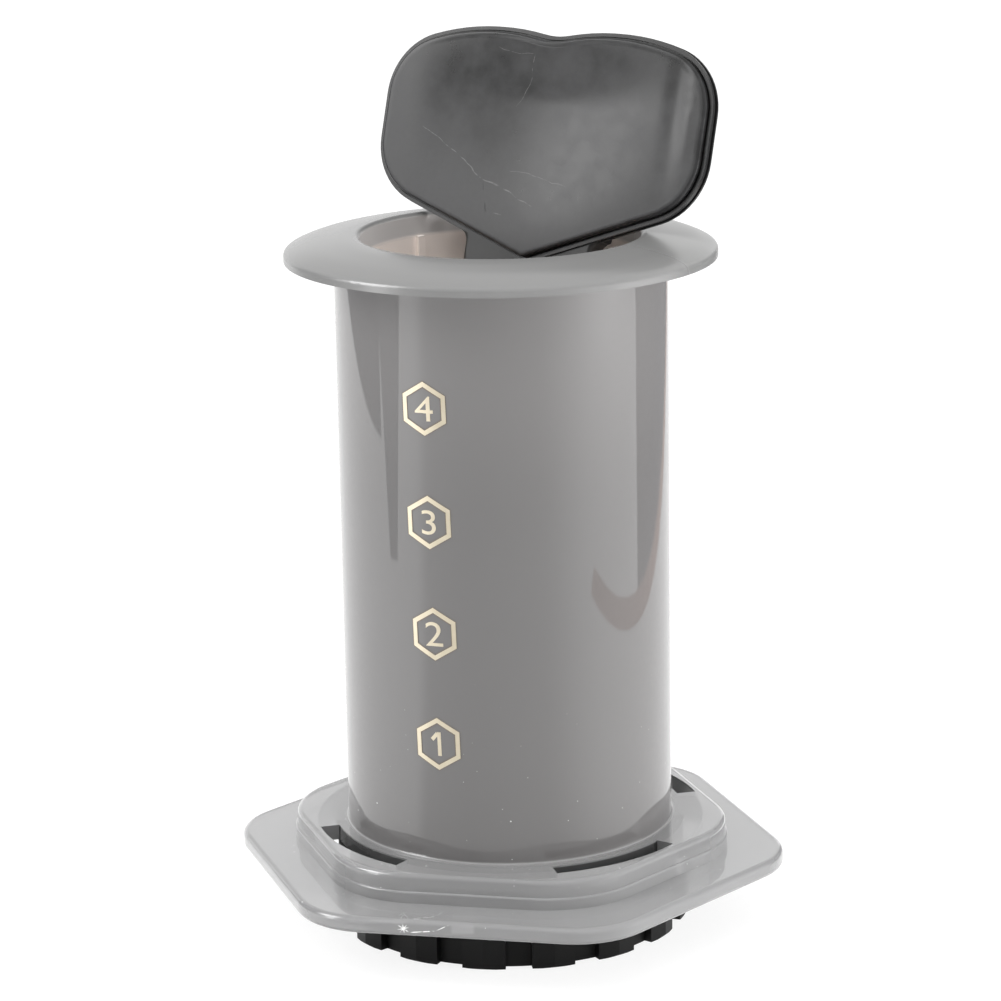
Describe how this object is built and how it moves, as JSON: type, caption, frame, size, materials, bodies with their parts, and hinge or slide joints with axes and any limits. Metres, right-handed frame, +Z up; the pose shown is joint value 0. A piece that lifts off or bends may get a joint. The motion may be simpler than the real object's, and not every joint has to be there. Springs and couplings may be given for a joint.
{
  "type": "manual coffee press",
  "caption": "Coffee press worked by hand: grey tube on a six-sided foot, hollow plunger with a wide round flange, ribbed twist-on cap, and a dished scoop kept in the plunger.",
  "frame": {"origin": "centre of the filter cap's underside, on the tube's axis", "axes": "+Z up along the tube's axis; -Y faces the viewer, with the numbers on the tube's front left"},
  "size_m": [0.1072, 0.1048, 0.1724],
  "materials": {
    "chamber": "smoky translucent, polished",
    "plunger": "satin",
    "plunger_seal": "moulded",
    "filter_cap": "satin black",
    "paper_filter": "uncoated paper",
    "scoop_bowl": "satin black, lightly scratched",
    "scoop_frame": "satin black"
  },
  "bodies": {
    "chamber": {"chamber": "chamber"},
    "plunger": {"plunger": "plunger", "plunger_seal": "plunger_seal"},
    "cap": {"filter_cap": "filter_cap", "paper_filter": "paper_filter"},
    "scoop": {"scoop_frame": "scoop_frame", "scoop_bowl": "scoop_bowl"}
  },
  "joints": [
    {"name": "plunger_slide", "type": "slide", "parent": "chamber", "child": "plunger", "axis": [0, 0, 1], "range_m": [0, 0.1]},
    {"name": "cap_twist", "type": "hinge", "parent": "chamber", "child": "cap", "pos_m": [0, 0, 0.011], "axis": [0, 0, 1], "range_deg": [0, 40]},
    {"name": "scoop_lift", "type": "slide", "parent": "plunger", "child": "scoop", "axis": [0.1588, 0.2612, 0.9521], "range_m": [0, 0.12]}
  ]
}
